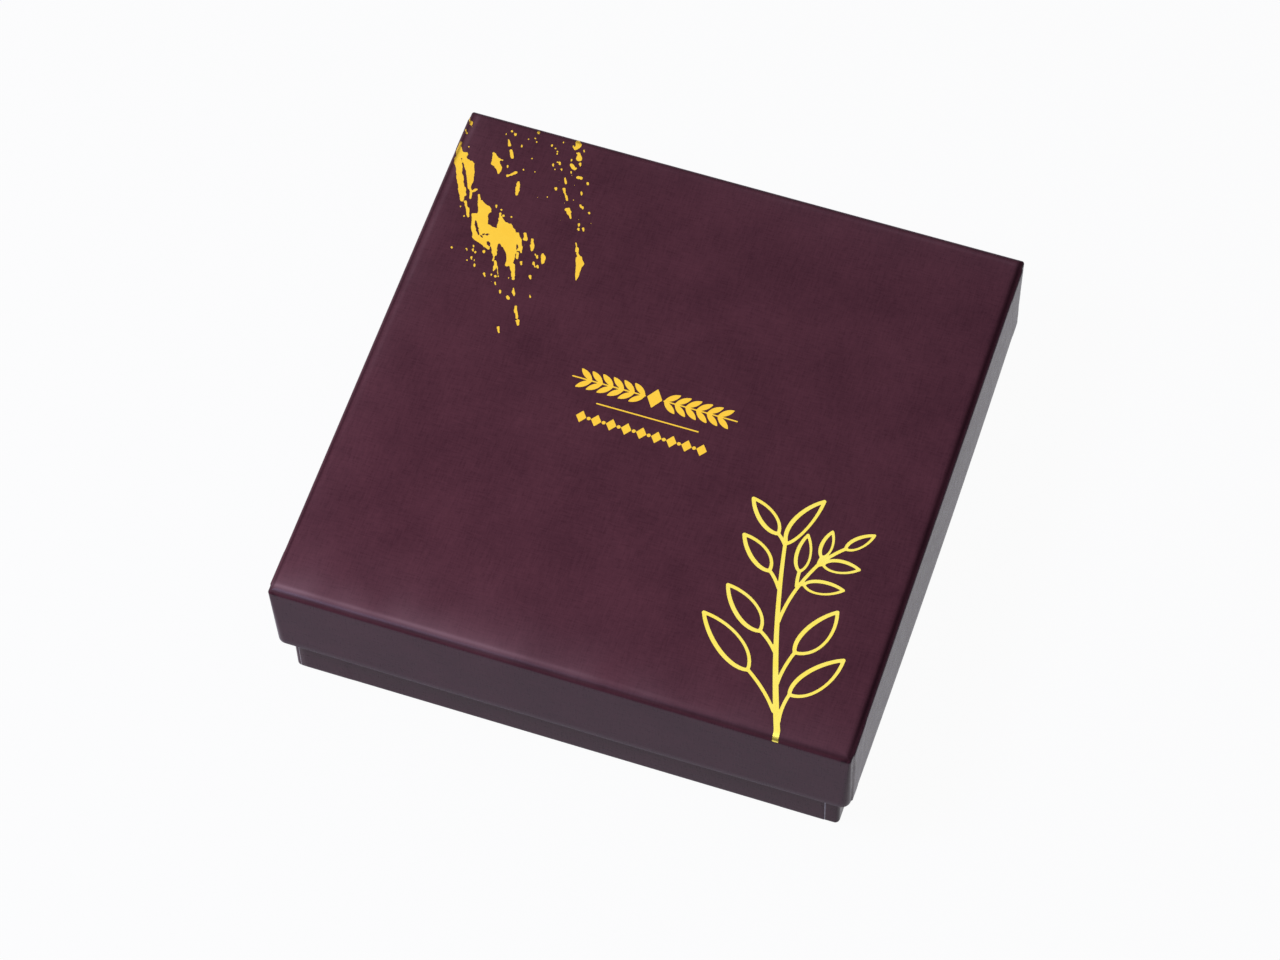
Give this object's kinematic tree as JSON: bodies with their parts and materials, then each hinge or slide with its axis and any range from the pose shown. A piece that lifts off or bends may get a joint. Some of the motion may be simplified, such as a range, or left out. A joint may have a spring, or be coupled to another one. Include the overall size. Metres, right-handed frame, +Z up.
{
  "type": "chocolate box",
  "caption": "Square two-piece rigid gift box with a lift-off lid, wrapped in dark paper with gold foil, holding pralines in a formed tray under a cushion pad.",
  "frame": {"origin": "middle of the base's underside", "axes": "+Z up out of the lid, -Y the front, +X to the right seen from the front"},
  "size_m": [0.12, 0.12, 0.0349],
  "materials": {
    "greyboard": "uncoated greyboard",
    "wrap_paper": "satin laminated art paper",
    "liner_paper": "uncoated cream paper",
    "kraft_tape": "kraft stay paper",
    "tray_plastic": "formed gold PET sheet",
    "dark_chocolate": "tempered dark chocolate",
    "milk_chocolate": "tempered milk chocolate",
    "white_chocolate": "white chocolate",
    "cocoa_dust": "cocoa powder",
    "nut": "roasted nut",
    "pad_paper": "embossed glassine pad",
    "gold_foil": "hot-stamped foil"
  },
  "bodies": {
    "base": {"base_board": "greyboard", "base_corner_stays": "kraft_tape", "base_wrap": "wrap_paper", "base_liner": "liner_paper"},
    "tray": {"insert_tray": "tray_plastic"},
    "praline_dome": {"praline_dome": "milk_chocolate"},
    "praline_pillow": {"praline_pillow": "dark_chocolate"},
    "praline_truffle": {"praline_truffle": "cocoa_dust"},
    "praline_heart": {"praline_heart": "milk_chocolate"},
    "praline_hazelnut": {"praline_hazelnut": "dark_chocolate", "hazelnut": "nut"},
    "praline_pyramid": {"praline_pyramid": "dark_chocolate"},
    "praline_oval": {"praline_oval": "milk_chocolate"},
    "praline_almond": {"praline_almond": "milk_chocolate", "almond": "nut"},
    "praline_cube": {"praline_cube": "white_chocolate"},
    "pad": {"cushion_pad": "pad_paper"},
    "lid": {"lid_board": "greyboard", "lid_corner_stays": "kraft_tape", "lid_wrap": "wrap_paper", "lid_liner": "liner_paper", "foil_splash": "gold_foil", "foil_ornament": "gold_foil", "foil_sprig": "gold_foil"}
  },
  "joints": [
    {"name": "tray_lift", "type": "slide", "parent": "base", "child": "tray", "axis": [0, 0, 1], "range_m": [0, 0.036]},
    {"name": "pralines_lift", "type": "slide", "parent": "tray", "child": "praline_hazelnut", "axis": [0, 0, 1], "range_m": [0, 0.032]},
    {"name": "praline_dome_lift", "type": "slide", "parent": "tray", "child": "praline_dome", "axis": [0, 0, 1], "range_m": [0, 0.032]},
    {"name": "praline_pillow_lift", "type": "slide", "parent": "tray", "child": "praline_pillow", "axis": [0, 0, 1], "range_m": [0, 0.032]},
    {"name": "praline_truffle_lift", "type": "slide", "parent": "tray", "child": "praline_truffle", "axis": [0, 0, 1], "range_m": [0, 0.032]},
    {"name": "praline_heart_lift", "type": "slide", "parent": "tray", "child": "praline_heart", "axis": [0, 0, 1], "range_m": [0, 0.032]},
    {"name": "praline_pyramid_lift", "type": "slide", "parent": "tray", "child": "praline_pyramid", "axis": [0, 0, 1], "range_m": [0, 0.032]},
    {"name": "praline_oval_lift", "type": "slide", "parent": "tray", "child": "praline_oval", "axis": [0, 0, 1], "range_m": [0, 0.032]},
    {"name": "praline_almond_lift", "type": "slide", "parent": "tray", "child": "praline_almond", "axis": [0, 0, 1], "range_m": [0, 0.032]},
    {"name": "praline_cube_lift", "type": "slide", "parent": "tray", "child": "praline_cube", "axis": [0, 0, 1], "range_m": [0, 0.032]},
    {"name": "pad_lift", "type": "slide", "parent": "praline_hazelnut", "child": "pad", "axis": [0, 0, 1], "range_m": [0, 0.03]},
    {"name": "lid_lift", "type": "slide", "parent": "pad", "child": "lid", "axis": [0, 0, 1], "range_m": [0, 0.06]}
  ],
  "couplings": [
    {"joint": "praline_dome_lift", "follows": "pralines_lift", "ratio": 1},
    {"joint": "praline_pillow_lift", "follows": "pralines_lift", "ratio": 1},
    {"joint": "praline_truffle_lift", "follows": "pralines_lift", "ratio": 1},
    {"joint": "praline_heart_lift", "follows": "pralines_lift", "ratio": 1},
    {"joint": "praline_pyramid_lift", "follows": "pralines_lift", "ratio": 1},
    {"joint": "praline_oval_lift", "follows": "pralines_lift", "ratio": 1},
    {"joint": "praline_almond_lift", "follows": "pralines_lift", "ratio": 1},
    {"joint": "praline_cube_lift", "follows": "pralines_lift", "ratio": 1}
  ]
}
